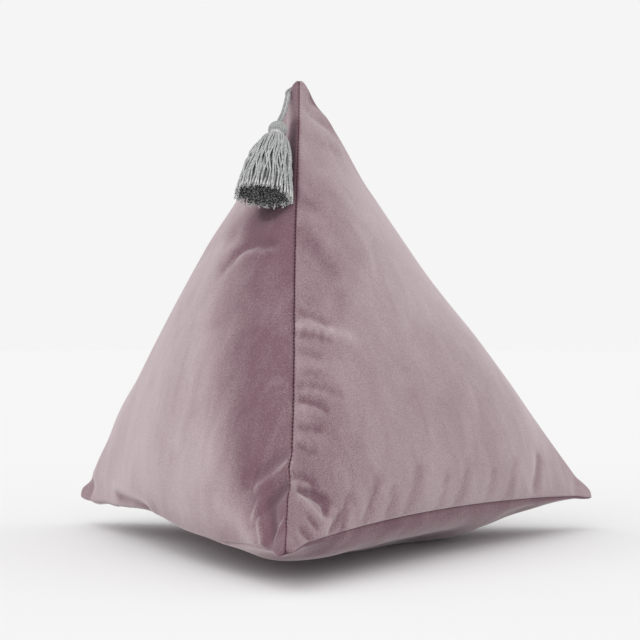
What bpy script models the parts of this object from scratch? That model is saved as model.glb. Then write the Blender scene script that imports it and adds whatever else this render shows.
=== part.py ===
# Pyramid cushion: four triangular velvet panels sewn into a filled tetrahedron
# that stands on one panel, with a yarn tassel on a cord loop below its point.
# Metres, +Z up, front corner towards -Y, floor at z = 0.

import math
import random

import bmesh
import bpy
from mathutils import Matrix, Vector

for old in list(bpy.data.objects):
    bpy.data.objects.remove(old)

# Cushion sizes
SEAM_LENGTH = 0.45  # base corner to base corner, along the finished seam
APEX_RISE = 0.3456  # point of the cushion above the plane of the base corners
APEX_LEAN = -0.0158  # the point leans to the tassel side
CORNER_LIFT = 0.028  # the sewn base corners stand clear of the floor
GRID_CELLS = 50  # cells along each seam
CROWDING = 0.68  # how much the grid tightens towards seams and corners
ROUNDING = 0.62  # power of the crown: lower is fuller beside the seams
SEAM_REACH = 3.0  # power with which a seam's bow dies away across a panel
SEAM_SINK = 0.0028  # the stitched line lies this deep between its two panels
SEAM_WIDTH = 0.0022  # distance from the line over which the panels close on it
EAR_PINCH = 0.0015  # how far each panel falls in behind a sewn tip
TIP_ROUNDING = 0.055  # share of a seam over which a turned-out corner is rounded off

# Tassel sizes
NECK_PLACE = Vector((-0.0294, -0.0389, 0.3240))  # middle of the neck, below the head
SKIRT_AXIS = Vector((-0.0070, -0.0400, -0.0580))  # the way the strands fall
SKIRT_LENGTH = 0.060
NECK_RADIUS = 0.005
STRANDS_ACROSS = 13
STRANDS_DEEP = 8
LOCK_INSET = 0.00013  # each lock starts this far inside its place in the neck
TIP_SPREAD = 0.0001  # how far a lock's end wanders
BACK_FLATTENING = 0.5  # depth of the side that rests on the cushion, as a share
CUT_UNEVENNESS = 0.0012  # spread of the locks' lengths
BINDING_GAP = 0.0003
BINDING_WIDTH = 0.0012
BINDING_HEIGHT = 0.0028
BINDING_LIFT = 0.0004  # its lower edge, above the top of the skirt
BINDING_SIDES = 8
BINDING_STEPS = 24

# Head of the tassel above its neck: height, radius
HEAD_PROFILE = [
    (0.0037, 0.0050),
    (0.0045, 0.0068),
    (0.0070, 0.0075),
    (0.0098, 0.0073),
    (0.0120, 0.0060),
    (0.0134, 0.0040),
    (0.0138, 0.0020),
]

# Skirt below the neck: share of its length, half width, half depth
SKIRT_PROFILE = [
    (0.07, 0.0098, 0.0085),
    (0.34, 0.0145, 0.0110),
    (0.68, 0.0200, 0.0138),
    (1.00, 0.0235, 0.0160),
]

# Hanging loop: a cord doubled into two legs, its bend against the side seam
CORD_DIAMETER = 0.0022
LEG_SPACING = 0.0028
CORD_POINT_PITCH = 0.0028
BEND_STEPS = 8
HEAD_GAP = 0.0006  # between the head and the ends of the legs
LOOP_ROUTE = [
    Vector((-0.0269, -0.0245, 0.3446)),
    Vector((-0.0258, -0.0145, 0.3530)),
    Vector((-0.0254, -0.0060, 0.3602)),
    Vector((-0.0251, -0.0003, 0.3655)),
]

BASE_RADIUS = SEAM_LENGTH / math.sqrt(3)
PANEL_HEIGHT = SEAM_LENGTH * math.sqrt(3) / 2


def base_corner(degrees):
    angle = math.radians(degrees)
    return Vector((BASE_RADIUS * math.sin(angle), -BASE_RADIUS * math.cos(angle), CORNER_LIFT))


CORNERS = {
    "front": base_corner(0),
    "right": base_corner(120),
    "left": base_corner(-120),
    "top": Vector((APEX_LEAN, 0, CORNER_LIFT + APEX_RISE)),
}

# panel, its three corners in order, height of its crown, share of it kept at the tips
PANELS = [
    ("base", ("left", "front", "right"), 0.043, 0.55),
    ("right face", ("front", "right", "top"), 0.026, 0.0),
    ("left face", ("left", "front", "top"), 0.030, 0.0),
    ("back face", ("right", "left", "top"), 0.028, 0.0),
]

# Shares of a corner between which the filling runs out towards its tip
FILLING_ENDS = {
    "front": (0.68, 0.96),
    "right": (0.68, 0.96),
    "left": (0.88, 0.99),
    "top": (0.60, 0.93),
}

# corner, corner, share of the way to the deepest bow, bow along X, Y, Z
SEAMS = [
    ("front", "right", 0.45, -0.003, 0.003, 0.010),
    ("front", "left", 0.42, 0.000, -0.001, -0.006),
    ("right", "left", 0.50, 0.000, -0.005, 0.009),
    ("front", "top", 0.50, 0.003, 0.005, -0.003),
    ("right", "top", 0.62, -0.006, -0.003, -0.003),
    ("left", "top", 0.55, 0.002, -0.003, -0.002),
]

# corner, corner, middle and half length of a local shift as shares of the seam, shift along X, Y, Z
SEAM_SHIFTS = [
    ("right", "top", 0.885, 0.13, 0.0036, 0.000, 0.0012),
    ("right", "top", 0.570, 0.18, -0.0028, -0.001, -0.0012),
    ("front", "left", 0.600, 0.22, 0.000, 0.000, 0.0064),
    ("front", "left", 0.930, 0.10, 0.000, 0.000, -0.0045),
    ("front", "left", 0.130, 0.13, 0.000, 0.000, 0.0022),
    ("left", "top", 0.030, 0.03, 0.0036, 0.000, 0.0000),
    ("left", "top", 0.230, 0.09, -0.0024, 0.000, 0.0000),
    ("left", "top", 0.975, 0.04, -0.0022, 0.000, 0.0000),
]

# panel, start x, y, end x, y in its flat plane, half width, height (below 0 is a crease)
FOLDS = [
    ("base", 0.385, 0.030, 0.405, 0.060, 0.060, 0.0055),
    ("base", 0.060, 0.040, 0.290, 0.040, 0.105, -0.0230),
    ("base", 0.310, 0.122, 0.276, 0.190, 0.055, -0.0095),
    ("base", 0.262, 0.296, 0.268, 0.276, 0.028, -0.0040),
    ("base", 0.110, 0.004, 0.120, 0.032, 0.009, -0.0030),
    ("base", 0.176, 0.004, 0.184, 0.026, 0.008, -0.0022),
    ("base", 0.252, 0.004, 0.248, 0.036, 0.010, -0.0032),
    ("right face", 0.030, 0.047, 0.044, 0.043, 0.008, 0.0020),
    ("right face", 0.033, 0.041, 0.052, 0.033, 0.009, -0.0065),
    ("right face", 0.052, 0.033, 0.059, 0.019, 0.009, -0.0080),
    ("right face", 0.030, 0.036, 0.050, 0.019, 0.009, 0.0042),
    ("right face", 0.064, 0.018, 0.044, 0.003, 0.009, 0.0042),
    ("right face", 0.071, 0.003, 0.083, 0.026, 0.008, -0.0035),
    ("right face", 0.098, 0.004, 0.122, 0.040, 0.009, -0.0042),
    ("right face", 0.124, 0.003, 0.133, 0.022, 0.007, -0.0024),
    ("right face", 0.150, 0.004, 0.176, 0.046, 0.012, -0.0034),
    ("right face", 0.196, 0.004, 0.206, 0.026, 0.009, -0.0024),
    ("right face", 0.222, 0.004, 0.246, 0.042, 0.013, -0.0030),
    ("right face", 0.268, 0.004, 0.276, 0.024, 0.009, -0.0020),
    ("right face", 0.300, 0.004, 0.318, 0.040, 0.012, -0.0024),
    ("right face", 0.352, 0.004, 0.356, 0.022, 0.009, -0.0020),
    ("right face", 0.425, 0.030, 0.402, 0.004, 0.009, -0.0055),
    ("right face", 0.200, 0.350, 0.232, 0.337, 0.009, -0.0055),
    ("right face", 0.196, 0.332, 0.240, 0.320, 0.012, 0.0024),
    ("right face", 0.100, 0.166, 0.126, 0.163, 0.008, -0.0014),
    ("right face", 0.090, 0.148, 0.128, 0.140, 0.009, -0.0019),
    ("right face", 0.075, 0.122, 0.116, 0.112, 0.009, -0.0019),
    ("right face", 0.062, 0.098, 0.088, 0.093, 0.008, -0.0014),
    ("left face", 0.402, 0.068, 0.374, 0.043, 0.011, -0.0042),
    ("left face", 0.412, 0.058, 0.389, 0.038, 0.009, 0.0048),
    ("left face", 0.414, 0.050, 0.400, 0.035, 0.010, -0.0068),
    ("left face", 0.399, 0.033, 0.394, 0.023, 0.008, 0.0042),
    ("left face", 0.394, 0.023, 0.406, 0.006, 0.008, 0.0048),
    ("left face", 0.410, 0.029, 0.421, 0.012, 0.009, -0.0055),
    ("left face", 0.341, 0.024, 0.400, 0.003, 0.009, 0.0020),
    ("left face", 0.160, 0.210, 0.228, 0.224, 0.012, -0.0024),
    ("left face", 0.228, 0.224, 0.290, 0.222, 0.012, -0.0022),
    ("left face", 0.020, 0.028, 0.034, 0.004, 0.008, -0.0055),
    ("left face", 0.104, 0.014, 0.232, 0.009, 0.007, 0.0026),
    ("left face", 0.112, 0.006, 0.222, 0.003, 0.007, -0.0050),
    ("back face", 0.020, 0.028, 0.048, 0.004, 0.009, -0.0055),
    ("back face", 0.430, 0.028, 0.402, 0.004, 0.009, -0.0055),
    ("back face", 0.106, 0.004, 0.118, 0.038, 0.010, -0.0038),
    ("back face", 0.152, 0.004, 0.158, 0.022, 0.008, -0.0022),
    ("back face", 0.196, 0.004, 0.204, 0.036, 0.011, -0.0032),
    ("back face", 0.262, 0.004, 0.256, 0.026, 0.009, -0.0024),
    ("back face", 0.318, 0.004, 0.304, 0.040, 0.011, -0.0038),
    ("back face", 0.354, 0.004, 0.348, 0.022, 0.008, -0.0022),
]

BODY_CENTRE = sum(CORNERS.values(), Vector()) / len(CORNERS)


# Shares of the four corners at a point of the flat tetrahedron
def corner_shares(point):
    names = list(CORNERS)
    last = CORNERS[names[3]]
    to_last = Matrix([CORNERS[name] - last for name in names[:3]]).transposed()
    shares = list(to_last.inverted() @ (point - last))
    shares.append(1 - sum(shares))
    return {name: min(max(share, 0.0), 1.0) for name, share in zip(names, shares)}


# The same shares with the grid drawn closer to seams and corners
def crowded(shares):
    moved = {}
    for name, share in shares.items():
        moved[name] = share - CROWDING * math.sin(2 * math.pi * share) / (2 * math.pi)
    total = sum(moved.values())
    return {name: share / total for name, share in moved.items()}


def panel_frame(corners):
    first, second, third = (CORNERS[name] for name in corners)
    along = (second - first).normalized()
    outward = along.cross(third - first).normalized()
    if outward.dot(first - BODY_CENTRE) < 0:
        outward.negate()
    across = (third - first) - (third - first).dot(along) * along
    return first, along, across.normalized(), outward


# Height of one fold at a place in its panel: a smooth ridge that fades at its ends
def fold_height(x, y, fold):
    start_x, start_y, end_x, end_y, half_width, height = fold
    run_x = end_x - start_x
    run_y = end_y - start_y
    run = math.hypot(run_x, run_y)
    share = ((x - start_x) * run_x + (y - start_y) * run_y) / run**2
    beyond = max(0.0, abs(share - 0.5) - 0.5) * run
    aside = abs((x - start_x) * run_y - (y - start_y) * run_x) / run
    away = (aside**2 + beyond**2) / half_width**2
    return height * (1 - away) ** 2 if away < 1 else 0.0


# Bow of a seam at a share of the way along it, greatest at its deepest place
def seam_bow(share, deepest):
    eased = share ** (math.log(0.5) / math.log(deepest))
    return 4 * eased * (1 - eased)


# Sum of the local shifts: each is full at its middle and none past its half length
def seam_shift(shares):
    shift = Vector()
    for first, second, middle, half_length, shift_x, shift_y, shift_z in SEAM_SHIFTS:
        both = shares[first] + shares[second]
        if both > 0:
            away = ((shares[second] / both - middle) / half_length) ** 2
            if away < 1:
                shift += Vector((shift_x, shift_y, shift_z)) * (1 - away) ** 2 * both**SEAM_REACH
    return shift


# How much of the crown is left on the way to a corner
def filling(tip, share, kept):
    full_up_to, empty_from = FILLING_ENDS[tip]
    way = min(max((share - full_up_to) / (empty_from - full_up_to), 0.0), 1.0)
    return 1 - (1 - kept) * way * way * (3 - 2 * way)


def ear_pinch(tip, share):
    empty_from = FILLING_ENDS[tip][1]
    return EAR_PINCH * math.sin(math.pi * max(share - empty_from, 0.0) / (1 - empty_from))


# A turned-out corner is widened about its middle line, so that it ends bluntly
def round_off(point, tip, share):
    left = 1 - share
    if not 0 < left < TIP_ROUNDING:
        return point
    middle = CORNERS[tip].lerp(BODY_CENTRE, left * 4 / 3)
    return middle + (point - middle) * math.sqrt(TIP_ROUNDING / left)


# Depth of the groove along the nearest seam, none at the very tips
def seam_groove(shares, tip):
    aside = sorted(shares.values())[1] * PANEL_HEIGHT
    return SEAM_SINK * math.exp(-((aside / SEAM_WIDTH) ** 2)) * min(1.0, (1 - shares[tip]) * 8)


def cushion_point(flat):
    shares = crowded(corner_shares(flat))
    tip = max(shares, key=shares.get)
    start = sum((CORNERS[name] * share for name, share in shares.items()), Vector())
    point = start.copy()
    for first, second, deepest, bow_x, bow_y, bow_z in SEAMS:
        both = shares[first] + shares[second]
        if both > 0:
            bow = seam_bow(shares[second] / both, deepest) * both**SEAM_REACH
            point += Vector((bow_x, bow_y, bow_z)) * bow
    for panel, corners, crown, kept in PANELS:
        product = 27 * math.prod(shares[name] for name in corners)
        if product <= 0:
            continue
        first, along, across, outward = panel_frame(corners)
        rise = crown * product**ROUNDING * filling(tip, shares[tip], kept)
        x = (start - first).dot(along)
        y = (start - first).dot(across)
        for fold_panel, *fold in FOLDS:
            if fold_panel == panel:
                rise += fold_height(x, y, fold) * min(1.0, product * 8)
        point += outward * (rise - ear_pinch(tip, shares[tip]))
    point += (BODY_CENTRE - point).normalized() * seam_groove(shares, tip)
    point = round_off(point, tip, shares[tip]) + seam_shift(shares)
    point.z = max(point.z, 0.0)
    return point


def add_object(name, bm, colour, roughness):
    mesh = bpy.data.meshes.new(name)
    bm.to_mesh(mesh)
    bm.free()
    mesh.shade_smooth()
    return add_to_scene(name, mesh, colour, roughness)


def add_to_scene(name, data, colour, roughness):
    material = bpy.data.materials.new(name)
    material.use_nodes = True
    shader = material.node_tree.nodes["Principled BSDF"]
    shader.inputs["Base Color"].default_value = (*colour, 1)
    shader.inputs["Roughness"].default_value = roughness
    shader.inputs["Metallic"].default_value = 0.0
    data.materials.append(material)
    obj = bpy.data.objects.new(name, data)
    bpy.context.scene.collection.objects.link(obj)
    return obj


def build_cushion():
    bm = bmesh.new()
    tips = [bm.verts.new(corner) for corner in CORNERS.values()]
    for skipped in range(4):
        bm.faces.new([tip for index, tip in enumerate(tips) if index != skipped])
    bmesh.ops.subdivide_edges(bm, edges=bm.edges[:], cuts=GRID_CELLS - 1, use_grid_fill=True)
    for vert in bm.verts:
        vert.co = cushion_point(vert.co)
    bmesh.ops.triangulate(bm, faces=bm.faces[:])
    bmesh.ops.recalc_face_normals(bm, faces=bm.faces[:])
    return add_object("cushion", bm, (0.42, 0.30, 0.33), 0.85)


# Turn that lays local -Z along the fall of the strands and local X across the face
def tassel_turn():
    down = SKIRT_AXIS.normalized()
    across = Vector((1, 0, 0))
    across -= across.dot(down) * down
    across.normalize()
    up = -down
    deep = up.cross(across)
    return Matrix((across, deep, up)).transposed().to_quaternion()


def place_tassel_piece(obj):
    obj.location = NECK_PLACE
    obj.rotation_mode = "QUATERNION"
    obj.rotation_quaternion = tassel_turn()


# A square grid place drawn out into a round one
def in_circle(u, v):
    return u * math.sqrt(1 - v * v / 2), v * math.sqrt(1 - u * u / 2)


# The skirt is pressed flatter on the side that rests on the cushion
def flattening(v, share):
    return 1 - (1 - BACK_FLATTENING) * share if v > 0 else 1.0


def build_tassel():
    bm = bmesh.new()
    bmesh.ops.create_grid(bm, x_segments=STRANDS_ACROSS, y_segments=STRANDS_DEEP, size=1)
    for vert in bm.verts:
        u, v = in_circle(vert.co.x, vert.co.y)
        vert.co = Vector((u * NECK_RADIUS, v * NECK_RADIUS, 0))
    roots = [face for face in bm.faces if all(len(vert.link_edges) > 2 for vert in face.verts)]

    # The neck and the head rise from the rim of the root disc
    rim = [edge for edge in bm.edges if edge.is_boundary]
    last_radius = NECK_RADIUS
    for height, radius in HEAD_PROFILE:
        raised = bmesh.ops.extrude_edge_only(bm, edges=rim)["geom"]
        for vert in raised:
            if isinstance(vert, bmesh.types.BMVert):
                vert.co.x *= radius / last_radius
                vert.co.y *= radius / last_radius
                vert.co.z = height
        rim = [edge for edge in raised if isinstance(edge, bmesh.types.BMEdge) and edge.is_boundary]
        last_radius = radius
    bmesh.ops.holes_fill(bm, edges=rim)

    # Each root cell is drawn down into one lock of yarn
    bmesh.ops.inset_individual(bm, faces=roots, thickness=LOCK_INSET, use_even_offset=True)
    strands = []
    for face in roots:
        middle = face.calc_center_median()
        strands.append([face, middle.x / NECK_RADIUS, middle.y / NECK_RADIUS])
    chance = random.Random(11)
    wander = [
        (chance.uniform(-1, 1), chance.uniform(-1, 1), chance.uniform(-1, 1)) for _ in strands
    ]
    last_width = last_depth = NECK_RADIUS
    last_share = 0.0
    for share, half_width, half_depth in SKIRT_PROFILE:
        for number, (face, u, v) in enumerate(strands):
            side, deep, longer = wander[number]
            drop = share * SKIRT_LENGTH
            if share == 1:
                drop += longer * CUT_UNEVENNESS
            drawn = bmesh.ops.extrude_discrete_faces(bm, faces=[face])["faces"][0]
            wider = half_width / last_width
            deeper = half_depth * flattening(v, share) / (last_depth * flattening(v, last_share))
            x = u * half_width + side * TIP_SPREAD * share
            y = (v * half_depth + deep * TIP_SPREAD * share) * flattening(v, share)
            middle = drawn.calc_center_median()
            for vert in drawn.verts:
                vert.co.x = x + (vert.co.x - middle.x) * wider
                vert.co.y = y + (vert.co.y - middle.y) * deeper
                vert.co.z = -drop
            strands[number][0] = drawn
        last_width = half_width
        last_depth = half_depth
        last_share = share
    bmesh.ops.triangulate(bm, faces=bm.faces[:])
    bmesh.ops.recalc_face_normals(bm, faces=bm.faces[:])
    place_tassel_piece(add_object("tassel", bm, (0.50, 0.51, 0.51), 0.9))


# Yarn wound round the neck, between the head and the skirt
def build_binding():
    bm = bmesh.new()
    inner = NECK_RADIUS + BINDING_GAP
    middle = inner + BINDING_WIDTH / 2
    ring = []
    for step in range(BINDING_SIDES):
        angle = 2 * math.pi * step / BINDING_SIDES
        x = middle + BINDING_WIDTH / 2 * math.cos(angle)
        z = BINDING_LIFT + BINDING_HEIGHT / 2 * (1 + math.sin(angle))
        ring.append(bm.verts.new((x, 0, z)))
    outline = [bm.edges.new((ring[step - 1], ring[step])) for step in range(BINDING_SIDES)]
    bmesh.ops.spin(
        bm,
        geom=ring + outline,
        axis=(0, 0, 1),
        cent=(0, 0, 0),
        steps=BINDING_STEPS,
        angle=2 * math.pi,
        use_merge=True,
    )
    bmesh.ops.remove_doubles(bm, verts=bm.verts[:], dist=1e-6)
    bmesh.ops.recalc_face_normals(bm, faces=bm.faces[:])
    place_tassel_piece(add_object("tassel_binding", bm, (0.56, 0.57, 0.57), 0.85))


# Smooth curve through a route's own points
def smooth_route(route, pitch):
    points = [route[0]]
    padded = [route[0] * 2 - route[1], *route, route[-1] * 2 - route[-2]]
    for before, start, end, after in zip(padded, padded[1:], padded[2:], padded[3:]):
        steps = max(1, round((end - start).length / pitch))
        for step in range(1, steps + 1):
            t = step / steps
            points.append(
                0.5
                * (
                    2 * start
                    + (end - before) * t
                    + (2 * before - 5 * start + 4 * end - after) * t**2
                    + (3 * start - before - 3 * end + after) * t**3
                )
            )
    return points


def build_loop():
    up = tassel_turn() @ Vector((0, 0, 1))
    head_top = NECK_PLACE + up * (HEAD_PROFILE[-1][0] + HEAD_GAP)
    middle = smooth_route([head_top, *LOOP_ROUTE], CORD_POINT_PITCH)
    apart = tassel_turn() @ Vector((LEG_SPACING / 2, 0, 0))
    onward = (middle[-1] - middle[-2]).normalized()
    bend = []
    for step in range(1, BEND_STEPS):
        angle = math.pi * step / BEND_STEPS
        bend.append(middle[-1] + apart * math.cos(angle) + onward * apart.length * math.sin(angle))
    route = [place + apart for place in middle] + bend
    route += [place - apart for place in reversed(middle)]

    curve = bpy.data.curves.new("tassel_loop", "CURVE")
    curve.dimensions = "3D"
    curve.bevel_depth = CORD_DIAMETER / 2
    curve.bevel_resolution = 2
    curve.use_fill_caps = True
    spline = curve.splines.new("POLY")
    spline.points.add(len(route) - 1)
    for spline_point, place in zip(spline.points, route):
        spline_point.co = (*place, 1)
    add_to_scene("tassel_loop", curve, (0.55, 0.56, 0.56), 0.85)


build_cushion()
build_tassel()
build_binding()
build_loop()
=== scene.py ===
# Pyramid cushion in mauve velvet with a grey yarn tassel hung below its point.
# Four triangular panels are filled by a short cloth run, folded, and sunk along their seams.

import math
import random

import bmesh
import bpy
from mathutils import Matrix, Vector


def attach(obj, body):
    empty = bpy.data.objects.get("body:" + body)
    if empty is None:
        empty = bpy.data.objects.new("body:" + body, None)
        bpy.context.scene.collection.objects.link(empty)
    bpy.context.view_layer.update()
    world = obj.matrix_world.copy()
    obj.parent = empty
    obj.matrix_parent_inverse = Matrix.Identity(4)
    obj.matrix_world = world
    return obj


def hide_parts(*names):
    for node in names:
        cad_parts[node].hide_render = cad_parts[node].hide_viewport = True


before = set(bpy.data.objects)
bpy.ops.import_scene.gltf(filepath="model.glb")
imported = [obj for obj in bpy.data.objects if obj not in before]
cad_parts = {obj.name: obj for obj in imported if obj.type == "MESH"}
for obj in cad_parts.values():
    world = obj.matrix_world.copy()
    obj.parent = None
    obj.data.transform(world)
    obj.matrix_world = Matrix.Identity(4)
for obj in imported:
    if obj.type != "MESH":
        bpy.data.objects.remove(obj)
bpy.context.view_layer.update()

scene = bpy.context.scene
print("frame loaded:", len(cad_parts), "nodes")


# Camera: level, at half the height of the cushion, a little to the right of its front corner
view = {"distance": 1.4, "turn": 5.07, "height": 0.1813, "lens": 98, "sensor": 36}

viewTurn = math.radians(view["turn"])
cameraData = bpy.data.cameras.new("camera")
cameraData.lens = view["lens"]
cameraData.sensor_width = view["sensor"]
camera = bpy.data.objects.new("camera", cameraData)
camera.location = (
    view["distance"] * math.sin(viewTurn),
    -view["distance"] * math.cos(viewTurn),
    view["height"],
)
camera.rotation_euler = (math.radians(90), 0, viewTurn)
scene.collection.objects.link(camera)
scene.camera = camera
print("camera placed")


# Small helpers for node materials

def startMaterial(name):
    material = bpy.data.materials.new(name)
    material.use_nodes = True
    return material, material.node_tree.nodes["Principled BSDF"]


def addNode(shader, kind, values=None, **settings):
    node = shader.id_data.nodes.new("ShaderNode" + kind)
    for key, value in settings.items():
        setattr(node, key, value)
    for key, value in (values or {}).items():
        if isinstance(value, bpy.types.NodeSocket):
            shader.id_data.links.new(value, node.inputs[key])
        else:
            node.inputs[key].default_value = value
    return node


def plug(shader, socketName, output):
    shader.id_data.links.new(output, shader.inputs[socketName])


def maths(shader, operation, first, second=0.0, third=0.0):
    node = addNode(shader, "Math", {0: first, 1: second, 2: third}, operation=operation)
    return node.outputs[0]


def blendColours(shader, share, first, second, kind="MIX"):
    node = addNode(shader, "Mix", data_type="RGBA", blend_type=kind)
    for key, value in ((0, share), (6, first), (7, second)):
        if isinstance(value, bpy.types.NodeSocket):
            shader.id_data.links.new(value, node.inputs[key])
        elif key == 0:
            node.inputs[key].default_value = value
        else:
            node.inputs[key].default_value = (*value, 1)
    return node.outputs[2]


def smoothStep(shader, value, low, high, atLow=0.0, atHigh=1.0):
    node = addNode(
        shader, "MapRange",
        {"Value": value, "From Min": low, "From Max": high, "To Min": atLow, "To Max": atHigh},
        interpolation_type="SMOOTHSTEP",
    )
    return node.outputs["Result"]


def makePiece(name, bm, material):
    mesh = bpy.data.meshes.new(name)
    bm.to_mesh(mesh)
    bm.free()
    mesh.materials.append(material)
    piece = bpy.data.objects.new(name, mesh)
    scene.collection.objects.link(piece)
    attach(piece, "root")
    return piece


# Cushion: sizes in metres, on the flat net before it is filled
cushion = {
    "seam": 0.45,
    "cornerHeight": 0.028,  # of the three lower corners above the floor
    "top": Vector((-0.0158, 0, 0.3736)),
    "cells": 80,  # along each seam
    "crowding": 0.45,  # how much the grid tightens towards seams and corners
    "crown": {"base": 0.043, "rightFace": 0.026, "leftFace": 0.030, "backFace": 0.028},
    "rounding": 0.62,  # below 1 the crown is fuller near the seams
    "bluntTip": 0.055,  # share of a corner that is turned out bluntly
    "seamSink": 0.0022,
    "sinkRun": 0.02,  # the seam sinks in gradually over this much from its ends
    "seamStrip": 0.0014,
    "tipFirmness": 0.9,
    "foldFade": 0.0025,  # folds die out over this much beside a seam
}

# The cloth run that fills it
filling = {
    "pressure": 6.0,
    "spareCloth": 0.012,  # how much longer the panels are than the thread lets the seams be
    "sewnStrip": 0.006,  # beside a seam, where the thread holds the cloth shorter
    "clothMass": 0.3,
    "stretch": 40,
    "shear": 10,
    "bending": 0.5,
    "damping": 20,
    "bendingDamping": 2,
    "airDamping": 5,
    "clearance": 0.001,
    "floorDrop": 0.0018,  # of the resting plane, because the cloth keeps this far off it
    "floorGrip": 5,
    "frames": 24,
}

halfRootThree = math.sqrt(3) / 2
reach = cushion["seam"] / math.sqrt(3)
panelHeight = cushion["seam"] * halfRootThree


def lowerCorner(degrees):
    angle = math.radians(degrees)
    return Vector((reach * math.sin(angle), -reach * math.cos(angle), cushion["cornerHeight"]))


corners = {
    "front": lowerCorner(0),
    "right": lowerCorner(120),
    "left": lowerCorner(-120),
    "top": cushion["top"],
}
middle = sum(corners.values(), Vector()) / 4

# Panel: its corners in order, share of its crown that is left at the tips
panels = {
    "base": (("left", "front", "right"), 0.55),
    "rightFace": (("front", "right", "top"), 0.0),
    "leftFace": (("left", "front", "top"), 0.0),
    "backFace": (("right", "left", "top"), 0.0),
}

# Shares of a corner between which the filling runs out towards its tip
fillingEnds = {"front": (0.68, 0.96), "right": (0.68, 0.96), "left": (0.88, 0.99), "top": (0.60, 0.93)}

# Corner, corner, share of the way to the deepest bow, bow along X, Y, Z
seams = [
    ("front", "right", 0.45, -0.003, 0.003, 0.010),
    ("front", "left", 0.42, 0.000, -0.001, -0.006),
    ("right", "left", 0.50, 0.000, -0.005, 0.009),
    ("front", "top", 0.50, 0.003, 0.005, -0.003),
    ("right", "top", 0.62, -0.006, -0.003, -0.003),
    ("left", "top", 0.55, 0.002, -0.003, -0.002),
]

# Corner, corner, middle and half length of a local shift as shares of the seam, shift along X, Y, Z
seamShifts = [
    ("right", "top", 0.885, 0.13, 0.0036, 0.000, 0.0012),
    ("right", "top", 0.570, 0.18, -0.0028, -0.001, -0.0012),
    ("front", "left", 0.600, 0.22, 0.000, 0.000, 0.0064),
    ("front", "left", 0.930, 0.10, 0.000, 0.000, -0.0045),
    ("front", "left", 0.130, 0.13, 0.000, 0.000, 0.0022),
    ("left", "top", 0.030, 0.03, 0.0036, 0.000, 0.0000),
    ("left", "top", 0.230, 0.09, -0.0024, 0.000, 0.0000),
    ("left", "top", 0.975, 0.04, -0.0022, 0.000, 0.0000),
    ("front", "top", 1.000, 0.03, 0.0000, 0.000, 0.0024),
    ("front", "top", 0.620, 0.44, -0.0034, 0.000, 0.0000),
    ("front", "top", 0.120, 0.12, -0.0010, 0.000, 0.0000),
]

# On each panel: start x, y, end x, y, half width, height (below 0 is a hollow)
bulges = {
    "base": [
        # full near the front corner, hollow along the seams to its left and right
        (0.385, 0.030, 0.405, 0.060, 0.060, 0.0055),
        (0.060, 0.040, 0.290, 0.040, 0.105, -0.0230),
        (0.310, 0.122, 0.276, 0.190, 0.055, -0.0095),
        (0.262, 0.296, 0.268, 0.276, 0.028, -0.0040),
    ],
    "rightFace": [
        # drawn in under the top corner
        (0.210, 0.350, 0.232, 0.337, 0.008, -0.0040),
        (0.196, 0.332, 0.240, 0.320, 0.014, 0.0022),
        # pinched at the right corner
        (0.436, 0.022, 0.422, 0.004, 0.007, -0.0045),
    ],
    "leftFace": [
        # pinched at the left corner
        (0.013, 0.018, 0.026, 0.003, 0.007, -0.0045),
        # a slack line under the tassel
        (0.160, 0.210, 0.228, 0.224, 0.012, -0.0010),
        (0.228, 0.224, 0.290, 0.222, 0.012, -0.0022),
    ],
    "backFace": [
        # pinched at both lower corners
        (0.020, 0.028, 0.048, 0.004, 0.009, -0.0055),
        (0.430, 0.028, 0.402, 0.004, 0.009, -0.0055),
    ],
}

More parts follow.
